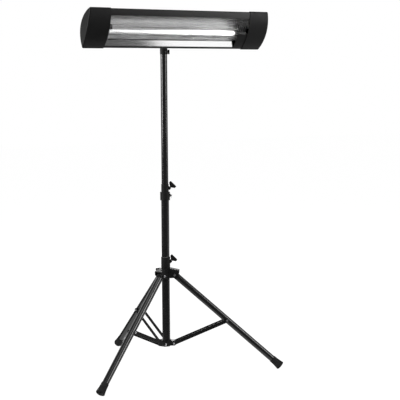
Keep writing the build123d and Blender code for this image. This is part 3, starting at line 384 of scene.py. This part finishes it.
# %% Powder coat on tubes
powder = Finish("powder_coat", base_color=grey(0.006), roughness=0.2, specular_ior_level=0.45)
dust = powder.patches(per_metre=14, detail=4, high=0.5)
powder.set(base_color=powder.blend(dust, grey(0.004), grey(0.01, tint=0.02)))
powder.set(roughness=powder.patches(per_metre=60, detail=3, low=0.16, high=0.24))
powder.bumps(powder.grain(per_metre=900, detail=1), millimetres=0.012)
print(powder.material.name)

# %% [markdown]
# The struts are flat bars cut from a strip. They have a duller coat than the tubes, and their upper edges
# would otherwise draw a white line.

# %% Dull coat on the flat bars
bar_coat = Finish("bar_coat", base_color=grey(0.006), roughness=0.5, specular_ior_level=0.1)
bar_dust = bar_coat.patches(per_metre=25, detail=4, high=0.5)
bar_coat.set(base_color=bar_coat.blend(bar_dust, grey(0.004), grey(0.01, tint=0.02)))
bar_coat.set(roughness=bar_coat.patches(per_metre=80, detail=3, low=0.45, high=0.58))
bar_coat.bumps(bar_coat.grain(per_metre=900, detail=1), millimetres=0.012)
print(bar_coat.material.name)

# %% [markdown]
# ### Moulded nylon
#
# The hub, the clamps and the collars are moulded in glass-filled nylon, with the fine even texture that the
# mould gives them. It is a duller black than the paint, so its highlights are wider. The handles and the
# caps are smoother mouldings of their own.

# %% Hub, clamps and collars
nylon_black = Finish("moulded_nylon", base_color=grey(0.008), roughness=0.5, specular_ior_level=0.12)
worn = nylon_black.patches(per_metre=30, detail=4, high=0.4)
nylon_black.set(base_color=nylon_black.blend(worn, grey(0.006), grey(0.014)))
nylon_black.set(roughness=nylon_black.patches(per_metre=120, detail=3, low=0.44, high=0.56))
nylon_black.bumps(nylon_black.grain(per_metre=2200, detail=2), millimetres=0.04)
print(nylon_black.material.name)

# %% Handles
handle_black = Finish("handle_plastic", base_color=grey(0.006), roughness=0.4, specular_ior_level=0.15)
handled = handle_black.patches(per_metre=45, detail=3, high=0.5)
handle_black.set(base_color=handle_black.blend(handled, grey(0.005), grey(0.012)))
handle_black.set(roughness=handle_black.patches(per_metre=90, detail=2, low=0.34, high=0.48))
handle_black.bumps(handle_black.grain(per_metre=1500, detail=1), millimetres=0.02)
print(handle_black.material.name)

# %% Caps
cap_black = Finish("cap_moulding", base_color=grey(0.007), roughness=0.42, specular_ior_level=0.12)
faded = cap_black.patches(per_metre=9, detail=3, high=0.5)
cap_black.set(base_color=cap_black.blend(faded, grey(0.0055), grey(0.009)))
cap_black.set(roughness=cap_black.patches(per_metre=50, detail=4, low=0.38, high=0.48))
cap_black.bumps(cap_black.grain(per_metre=1800, detail=2), millimetres=0.03)
print(cap_black.material.name)

# %% [markdown]
# ### Coated extrusion
#
# The housing is extruded aluminium with a black coat. The die leaves very faint lines along the piece, so
# the noise is stretched along X, the length of the head.

# %% Housing
coat = Finish("coated_extrusion", base_color=grey(0.0055), roughness=0.34, specular_ior_level=0.15)
die_lines = coat.grain(per_metre=600, detail=2, stretch=(0.02, 1, 1))
rubbed = coat.patches(per_metre=8, detail=3, high=0.6)
coat.set(base_color=coat.blend(rubbed, grey(0.0045), grey(0.008)))
coat.set(roughness=coat.spread(die_lines, low=0.3, high=0.42))
coat.bumps(die_lines, millimetres=0.015)
print(coat.material.name)

# %% [markdown]
# ### Bright metals
#
# Screws, pins and rivets are zinc plated: a cool grey metal that is a little cloudy. The reflector is
# polished aluminium sheet, which keeps the faint lines of its rolling. The ledge below the lamp is polished
# further, so it mirrors the studio. The grille's wires are drawn steel. A few screws are blackened, with a
# trace of oil.

# %% Zinc plate
zinc = Finish("zinc_plate", metallic=1.0, base_color=grey(0.62, tint=0.02), roughness=0.3)
cloud = zinc.patches(per_metre=260, detail=3)
zinc.set(base_color=zinc.blend(cloud, grey(0.38, tint=0.03), grey(0.55, tint=0.02)))
zinc.set(roughness=zinc.patches(per_metre=500, detail=2, low=0.3, high=0.44))
zinc.bumps(zinc.grain(per_metre=1400, detail=1), millimetres=0.01)
print(zinc.material.name)

# %% Reflector sheet and ledge
mirror_sheet = Finish("polished_sheet", metallic=1.0, base_color=grey(0.75), roughness=0.25)
rolled = mirror_sheet.grain(per_metre=420, detail=3, stretch=(0.03, 1, 1))
mirror_sheet.set(base_color=mirror_sheet.blend(rolled, grey(0.72), grey(0.82)))
mirror_sheet.set(roughness=mirror_sheet.spread(rolled, low=0.2, high=0.32))
mirror_sheet.bumps(rolled, millimetres=0.01)

ledge_polish = Finish("polished_ledge", metallic=1.0, base_color=grey(0.93), roughness=0.1)
brushed = ledge_polish.grain(per_metre=500, detail=2, stretch=(0.02, 1, 1))
ledge_polish.set(base_color=ledge_polish.blend(brushed, grey(0.9), grey(0.96)))
ledge_polish.set(roughness=ledge_polish.spread(brushed, low=0.08, high=0.13))
ledge_polish.bumps(brushed, millimetres=0.008)
print(mirror_sheet.material.name, ledge_polish.material.name)

# %% Wires and blackened screws
bright_wire = Finish("bright_wire", metallic=1.0, base_color=grey(0.68), roughness=0.22)
streak = bright_wire.patches(per_metre=300, detail=2)
bright_wire.set(base_color=bright_wire.blend(streak, grey(0.6), grey(0.75)))
bright_wire.set(roughness=bright_wire.patches(per_metre=700, detail=1, low=0.18, high=0.3))
bright_wire.bumps(bright_wire.grain(per_metre=2600, detail=1), millimetres=0.01)

black_steel = Finish("black_screw", metallic=0.6, base_color=grey(0.03), roughness=0.4)
oiled = black_steel.patches(per_metre=600, detail=2)
black_steel.set(base_color=black_steel.blend(oiled, grey(0.022), grey(0.045)))
black_steel.set(roughness=black_steel.patches(per_metre=800, detail=2, low=0.32, high=0.5))
black_steel.bumps(black_steel.grain(per_metre=2000, detail=1), millimetres=0.02)
print(bright_wire.material.name, black_steel.material.name)

# %% [markdown]
# ### The lamp
#
# The lamp is a tube of clear quartz with a dark coil in it. Real transmission lets the reflector show
# through the tube, with the pale edges that a thick glass wall has. A trace of unevenness in the roughness
# keeps it from looking like a computer's glass.

# %% Quartz, coil and holders
quartz = Finish("quartz", base_color=grey(0.97), roughness=0.03, transmission_weight=1.0, ior=1.46)
quartz.set(roughness=quartz.patches(per_metre=35, detail=3, low=0.01, high=0.07))

coil_dark = (0.025, 0.022, 0.02, 1)
coil_pale = (0.06, 0.05, 0.045, 1)
coil_metal = Finish("coil_metal", metallic=0.7, base_color=grey(0.03), roughness=0.55)
heated = coil_metal.patches(per_metre=200, detail=3)
coil_metal.set(base_color=coil_metal.blend(heated, coil_dark, coil_pale))
coil_metal.bumps(coil_metal.grain(per_metre=3000, detail=1), millimetres=0.02)

ceramic = Finish("lamp_holder", base_color=grey(0.01), roughness=0.55, specular_ior_level=0.12)
fired = ceramic.patches(per_metre=150, detail=4)
ceramic.set(base_color=ceramic.blend(fired, grey(0.007), grey(0.014)))
ceramic.bumps(ceramic.grain(per_metre=1200, detail=3), millimetres=0.05)
print(quartz.material.name, coil_metal.material.name, ceramic.material.name)

# %% [markdown]
# ### Rubber and the hidden mouldings
#
# The feet are dull rubber, scuffed by the ground. The bushes between the tubes are natural nylon, which is
# a warm white, and the small parts inside the head are pale grey mouldings. Each has a wide noise in its
# colour and a fine one in its bumps.

# %% Rubber, liners and inner mouldings
rubber = Finish("foot_rubber", base_color=grey(0.01), roughness=0.75, specular_ior_level=0.12)
scuff = rubber.patches(per_metre=70, detail=5, high=0.6)
rubber.set(base_color=rubber.blend(scuff, grey(0.007), grey(0.02)))
rubber.set(roughness=rubber.patches(per_metre=200, detail=3, low=0.65, high=0.85))
rubber.bumps(rubber.grain(per_metre=1300, detail=3), millimetres=0.05)

liner_dark = (0.5, 0.5, 0.47, 1)
liner_pale = (0.62, 0.62, 0.58, 1)
liner = Finish("nylon_liner", base_color=grey(0.55), roughness=0.5)
liner.set(base_color=liner.blend(liner.grain(per_metre=90, detail=3), liner_dark, liner_pale))
liner.bumps(liner.grain(per_metre=1500, detail=2), millimetres=0.03)

inner = Finish("inner_moulding", base_color=grey(0.5), roughness=0.5)
inner.set(base_color=inner.blend(inner.grain(per_metre=60, detail=3), grey(0.45), grey(0.58)))
inner.bumps(inner.grain(per_metre=1600, detail=2), millimetres=0.03)
print(rubber.material.name, liner.material.name, inner.material.name)

# %% [markdown]
# ## Dressing the CAD pieces
#
# Each CAD node names a slot of the record, so one table from slot to finish dresses all of them. Four nodes
# then get a finish of their own: the polished ledge, and the flat bars of the three struts.

# %% Assign the finishes
finish_of_slot = {
    "black_tube": powder,
    "moulding": nylon_black,
    "handle_plastic": handle_black,
    "cap_plastic": cap_black,
    "gland_plastic": nylon_black,
    "housing_paint": coat,
    "saddle_paint": powder,
    "zinc": zinc,
    "reflector_sheet": mirror_sheet,
    "grille_wire": bright_wire,
    "black_screw": black_steel,
    "quartz": quartz,
    "filament": coil_metal,
    "holder_ceramic": ceramic,
    "foot_rubber": rubber,
    "nylon": liner,
    "inner_plastic": inner,
}


def dress(piece, finish):
    """Gives every face of a piece one finish."""
    piece.data.materials.clear()
    piece.data.materials.append(finish.material)


for subpart in frame["record"]["subparts"]:
    dress(frame["nodes"][subpart["node"]], finish_of_slot[subpart["material_slot"]])
dress(frame["nodes"]["lower_trim"], ledge_polish)
for leg in ("rear", "left", "right"):
    dress(frame["nodes"]["strut_bars_" + leg], bar_coat)

# %% [markdown]
# ## Where the head is
#
# The head leans forwards on the mast. Two values say where: the middle of its front edge plane and its
# tilt. `head_point` turns a place on the head into a place in the room: `along` is to the right, `front` is
# out of the window, and `high` is up the window. All are millimetres, as a designer would dimension the
# head.

# %% The head's own axes
head_tilt = radians(25.3)
head_middle = Vector((0, -0.1285, 1.491))
head_front = Vector((0, -cos(head_tilt), -sin(head_tilt)))
head_high = Vector((0, -sin(head_tilt), cos(head_tilt)))


def head_point(along, front, high):
    """The place in the room of a place on the head."""
    return head_middle + (Vector((along, 0, 0)) + head_front * front + head_high * high) / 1000


print("head middle", list(head_middle))

# %% [markdown]
# ## Geometry Nodes for what repeats
#
# The grille has some sixty equal wires. One tree makes them: it takes the centre line of a wire, rounds its
# corners, gives it a round section and repeats it. The lengths are named inputs of the tree, so the same
# tree also makes the two rods and the straight tails of the lamp's coil.


# %% A Geometry Nodes tree
class Pattern(Tree):
    """A Geometry Nodes group with named inputs."""

    def __init__(self, name, sockets):
        super().__init__(bpy.data.node_groups.new(name, "GeometryNodeTree"))
        face = self.tree.interface
        face.new_socket("Geometry", in_out="INPUT", socket_type="NodeSocketGeometry")
        for label, kind in sockets.items():
            face.new_socket(label, in_out="INPUT", socket_type="NodeSocket" + kind)
        face.new_socket("Geometry", in_out="OUTPUT", socket_type="NodeSocketGeometry")
        self.start = self.tree.nodes.new("NodeGroupInput")
        self.end = self.tree.nodes.new("NodeGroupOutput")

    def given(self, label):
        """The wire of a named input."""
        return Wire(self, self.start.outputs[label])

    def close(self, geometry):
        """Ends the tree: real geometry, smooth, in the given finish."""
        real = self.node("GeometryNodeRealizeInstances", {}, {"Geometry": geometry})
        smooth = self.node("GeometryNodeSetShadeSmooth", {}, {0: real})
        inputs = {"Geometry": smooth, "Material": self.given("Finish")}
        painted = self.node("GeometryNodeSetMaterial", {}, inputs)
        self.connect(painted, self.end.inputs["Geometry"])


# %% Run a tree, and a line to run it on
def grow(name, pattern, base, values):
    """Runs a pattern on an object and keeps the result as a plain mesh."""
    modifier = base.modifiers.new("pattern", "NODES")
    modifier.node_group = pattern.tree
    for item in pattern.tree.interface.items_tree:
        if item.in_out == "INPUT" and item.name in values:
            modifier[item.identifier] = values[item.name]
    graph = bpy.context.evaluated_depsgraph_get()
    mesh = bpy.data.meshes.new_from_object(base.evaluated_get(graph))
    bpy.data.objects.remove(base)
    piece = bpy.data.objects.new(name, mesh)
    mesh.name = name
    scene.collection.objects.link(piece)
    print(name, len(mesh.polygons), "faces")
    return piece


def line_object(points):
    """A curve of straight runs through points."""
    data = bpy.data.curves.new("line", "CURVE")
    data.dimensions = "3D"
    spline = data.splines.new("POLY")
    spline.points.add(len(points) - 1)
    for point, place in zip(spline.points, points):
        point.co = (*place, 1)
    curve = bpy.data.objects.new("line", data)
    scene.collection.objects.link(curve)
    return curve


# %% The row of wires
row_inputs = {
    "Radius": "Float",
    "Corner": "Float",
    "Sides": "Int",
    "Count": "Int",
    "Step": "Vector",
    "Finish": "Material",
}
row = Pattern("row_of_wires", row_inputs)
rounded = row.node(
    "GeometryNodeFilletCurve",
    {},
    {"Curve": row.given("Geometry"), "Radius": row.given("Corner")},
)
section = row.node(
    "GeometryNodeCurvePrimitiveCircle",
    {},
    {"Resolution": row.given("Sides"), "Radius": row.given("Radius")},
)
one = row.node(
    "GeometryNodeCurveToMesh",
    {},
    {"Curve": rounded, "Profile Curve": section, "Fill Caps": True},
)
stations = row.node(
    "GeometryNodeMeshLine",
    {"mode": "OFFSET"},
    {"Count": row.given("Count"), "Offset": row.given("Step")},
)
many = row.node("GeometryNodeInstanceOnPoints", {}, {"Points": stations, "Instance": one})
row.close(many)
print("row tree:", len(row.tree.nodes), "nodes")

# %% [markdown]
# ## The grille
#
# Each wire is hooked behind the housing's upper lip, bows out a little over the lamp, and goes back into
# the slot above the polished ledge. Behind them two rods run the length of the window, and every wire is
# welded to both.

# %% Wires
wire_pitch = 10.6
wire_count = 63
wire_radius = 1.0
wire_corner = 6.0
wire_sides = 10
wire_line = [(4.2, 66.5), (8.6, 36.0), (7.5, -28.0), (-1.0, -48.7), (-12.0, -48.7)]
first_wire = -wire_pitch * (wire_count - 1) / 2
wires = grow(
    "grille_wires",
    row,
    line_object([head_point(first_wire, front, high) for front, high in wire_line]),
    {
        "Radius": wire_radius / 1000,
        "Corner": wire_corner / 1000,
        "Sides": wire_sides,
        "Count": wire_count,
        "Step": (wire_pitch / 1000, 0, 0),
        "Finish": bright_wire.material,
    },
)
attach(wires, "head")
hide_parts("grille")

# %% Rods
rod_end = 335
rod_radius = 1.5
rod_sides = 12
upper_rod_place = (2.7, 63.5)
lower_rod_place = (-9.5, -50.8)
for name, (front, high) in (("upper_rod", upper_rod_place), ("lower_rod", lower_rod_place)):
    rod = grow(
        name,
        row,
        line_object([head_point(-rod_end, front, high), head_point(rod_end, front, high)]),
        {
            "Radius": rod_radius / 1000,
            "Corner": 0.0,
            "Sides": rod_sides,
            "Count": 1,
            "Step": (0, 0, 0),
            "Finish": bright_wire.material,
        },
    )
    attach(rod, "head")
    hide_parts("grille")

# %% [markdown]
# ## The coil in the lamp
#
# The heating wire is wound in one long coil, a helix. The Spiral primitive gives a helix when both of its
# radii are equal. Its turns are few-sided, because there are nearly 170 of them and each is only seven
# millimetres wide. The tree draws its own helix, so the line that it runs on is only a stand-in. At both
# ends the wire runs straight to the lamp's end.

# %% The winding tree
coil_steps = 12
coil_sides = 5
coil_inputs = {
    "Radius": "Float",
    "Wire": "Float",
    "Length": "Float",
    "Turns": "Float",
    "Finish": "Material",
}
coil = Pattern("wound_coil", coil_inputs)
helix = coil.node(
    "GeometryNodeCurveSpiral",
    {},
    {
        "Resolution": coil_steps,
        "Rotations": coil.given("Turns"),
        "Start Radius": coil.given("Radius"),
        "End Radius": coil.given("Radius"),
        "Height": coil.given("Length"),
    },
)
thin = coil.node(
    "GeometryNodeCurvePrimitiveCircle",
    {},
    {"Resolution": coil_sides, "Radius": coil.given("Wire")},
)
wound = coil.node(
    "GeometryNodeCurveToMesh",
    {},
    {"Curve": helix, "Profile Curve": thin, "Fill Caps": True},
)
coil.close(wound)
print("coil tree:", len(coil.tree.nodes), "nodes")

# %% Coil
lamp_front = -19.0
lamp_high = -1.0
coil_half = 302.0
coil_pitch = 3.6
coil_radius = 3.1
coil_wire = 0.5
stand_in = [(0, 0, 0), (0, 0, 0.001)]
spiral = grow(
    "lamp_coil",
    coil,
    line_object(stand_in),
    {
        "Radius": coil_radius / 1000,
        "Wire": coil_wire / 1000,
        "Length": 2 * coil_half / 1000,
        "Turns": 2 * coil_half / coil_pitch,
        "Finish": coil_metal.material,
    },
)
to_head = Matrix.Translation(head_point(-coil_half, lamp_front, lamp_high))
spiral.data.transform(to_head @ Matrix.Rotation(pi / 2, 4, "Y"))
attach(spiral, "head")
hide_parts("filament")

# %% Straight tails
tail_outer = 316
tail_inner = 301
tail_radius = 0.9
tail_sides = 8
tail_line = [head_point(-end, lamp_front, lamp_high) for end in (tail_outer, tail_inner)]
tails = grow(
    "lamp_coil_tails",
    row,
    line_object(tail_line),
    {
        "Radius": tail_radius / 1000,
        "Corner": 0.0,
        "Sides": tail_sides,
        "Count": 2,
        "Step": ((tail_outer + tail_inner) / 1000, 0, 0),
        "Finish": coil_metal.material,
    },
)
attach(tails, "head")
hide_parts("filament")

# %% [markdown]
# ## Screw heads
#
# The CAD screws are studs with plain heads. Here they get domed heads with the recess for the driver. A
# screw is a stack of rings round one axis, from the end of its shank over the dome and down into the
# recess. The rings of the recess aren't round: they follow a cross or a hexagon, written as a radius for
# each angle.


# %% Outlines of the rings
def round_ring(size):
    """The outline of a circle: the same radius for each angle."""
    return lambda angle: size


def cross_ring(arm, half_width):
    """The outline of a cross, as a radius for each angle."""
    never_zero = 1e-6

    def radius(angle):
        near, far = sorted((abs(cos(angle)), abs(sin(angle))))
        return min(arm / far, half_width / max(near, never_zero))

    return radius


def hexagon_ring(across_flats):
    """The outline of a hexagon, as a radius for each angle."""
    return lambda angle: across_flats / 2 / cos((angle % (pi / 3)) - pi / 6)


print("ring outlines ready")

# %% One screw
screw_sides = 48
sharp_edge = radians(35)
tip_share = 0.7
tip_length = 0.3
dome = [(1.0, 0.4), (0.93, 0.72), (0.78, 0.92), (0.66, 1.0)]
recess_floor = 0.3


def screw_rings(head, height, shank, length, recess):
    """The rings of a screw: each has its outline and its height over the seat, in millimetres."""
    rings = [(round_ring(shank * tip_share), -length), (round_ring(shank), -length + shank * tip_length)]
    rings += [(round_ring(shank), 0), (round_ring(head), 0)]
    rings += [(round_ring(head * wide), height * tall) for wide, tall in dome]
    return rings + [(recess, height), (recess, height * recess_floor)]


def one_screw(rings):
    """A screw at the origin, its head up: the rings joined by faces."""
    points, faces = [], []
    for outline, height in rings:
        for side in range(screw_sides):
            angle = 2 * pi * side / screw_sides
            size = outline(angle) / 1000
            points.append((size * cos(angle), size * sin(angle), height / 1000))
    for ring in range(len(rings) - 1):
        low = ring * screw_sides
        high = low + screw_sides
        for side in range(screw_sides):
            after = (side + 1) % screw_sides
            faces.append((low + side, low + after, high + after, high + side))
    faces.append(tuple(reversed(range(screw_sides))))
    faces.append(tuple(range(len(points) - screw_sides, len(points))))
    mesh = bpy.data.meshes.new("screw")
    mesh.from_pydata(points, [], faces)
    mesh.set_sharp_from_angle(angle=sharp_edge)
    return bpy.data.objects.new("screw", mesh)


print("a screw's rings have", screw_sides, "sides")

# %% [markdown]
# Equal screws are one screw on many seats. The tree below stands a copy on each point of a mesh, and turns
# it to the direction that the point carries in an attribute called facing.

# %% Screws on their seats
seated = Pattern("screws_on_seats", {"Screw": "Object", "Finish": "Material"})
facing = seated.node(
    "GeometryNodeInputNamedAttribute",
    {"data_type": "FLOAT_VECTOR"},
    {"Name": "facing"},
)
turned = seated.node("FunctionNodeAlignRotationToVector", {"axis": "Z"}, {"Vector": facing})
copied = seated.node("GeometryNodeObjectInfo", {}, {"Object": seated.given("Screw")}, "Geometry")
placed = seated.node(
    "GeometryNodeInstanceOnPoints",
    {},
    {"Points": seated.given("Geometry"), "Instance": copied, "Rotation": turned},
)
seated.close(placed)
print("screw tree:", len(seated.tree.nodes), "nodes")


def screws(name, seats, rings, finish):
    """One mesh with a screw on each seat: a place and the direction that the head faces."""
    mesh = bpy.data.meshes.new("seats")
    mesh.from_pydata([place for place, direction in seats], [], [])
    carried = mesh.attributes.new("facing", "FLOAT_VECTOR", "POINT")
    for item, (place, direction) in zip(carried.data, seats):
        item.vector = direction
    base = bpy.data.objects.new("seats", mesh)
    scene.collection.objects.link(base)
    template = one_screw(rings)
    piece = grow(name, seated, base, {"Screw": template, "Finish": finish.material})
    bpy.data.objects.remove(template)
    for spare in [carrier for carrier in piece.data.attributes if carrier.name == "facing"]:
        piece.data.attributes.remove(spare)
    return piece


# %% [markdown]
# The caps and the housing have a round back, an arc about a line in front of the window, so the cap screws
# stand on that arc a little above and below its middle. The saddle's four screws stand on its plate in two
# rows. The adapter has one screw, which faces the front.

# %% Cap screws
back_radius = 123.96
back_middle = 81.96
cap_screw_along = 348.0
cap_screw_slope = radians(18)
cap_seats = []
for side in (-1, 1):
    for slope in (-cap_screw_slope, cap_screw_slope):
        front = back_middle - back_radius * cos(slope)
        high = back_radius * sin(slope)
        seat = head_point(side * cap_screw_along, front, high)
        cap_seats.append((seat, head_high * sin(slope) - head_front * cos(slope)))
cap_cross = cross_ring(arm=1.7, half_width=0.45)
cap_rings = screw_rings(head=3.2, height=1.6, shank=1.7, length=7.0, recess=cap_cross)
cap_heads = screws("cap_screw_heads", cap_seats, cap_rings, black_steel)

# %% Saddle screws
saddle_screw_along = 27.0
saddle_screw_rows = [(-43.4, -11.0), (-38.62, -39.0)]
saddle_seats = []
for along in (-saddle_screw_along, saddle_screw_along):
    for front, high in saddle_screw_rows:
        saddle_seats.append((head_point(along, front, high), -head_front))
hexagon = hexagon_ring(across_flats=2.5)
saddle_rings = screw_rings(head=4.0, height=2.4, shank=1.95, length=9.8, recess=hexagon)
saddle_heads = screws("saddle_screw_heads", saddle_seats, saddle_rings, zinc)

# %% The adapter's screw
adapter_screw_side = radians(-88)
adapter_screw_radius = 0.01625
adapter_screw_height = 1.4
adapter_out = Vector((cos(adapter_screw_side), sin(adapter_screw_side), 0))
adapter_seat = adapter_out * adapter_screw_radius + Vector((0, 0, adapter_screw_height))
adapter_rings = screw_rings(head=4.0, height=2.6, shank=2.2, length=0.95, recess=hexagon)
adapter_head = screws(
    "adapter_screw_head",
    [(adapter_seat, adapter_out)],
    adapter_rings,
    black_steel,
)

# %% Screws on their bodies
for piece, node, body, slot in (
    (cap_heads, "cap_screws", "head", "black_screw"),
    (saddle_heads, "saddle_screws", "head", "zinc"),
    (adapter_head, "adapter_screw", "adapter", "black_screw"),
):
    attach(piece, body)
    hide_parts(node)
    print(piece.name, "rides on", body)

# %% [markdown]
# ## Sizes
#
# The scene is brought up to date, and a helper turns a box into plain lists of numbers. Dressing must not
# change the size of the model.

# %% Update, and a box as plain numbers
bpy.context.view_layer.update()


def plain(box):
    """A box as plain lists of numbers."""
    return [[float(v) for v in corner] for corner in box]
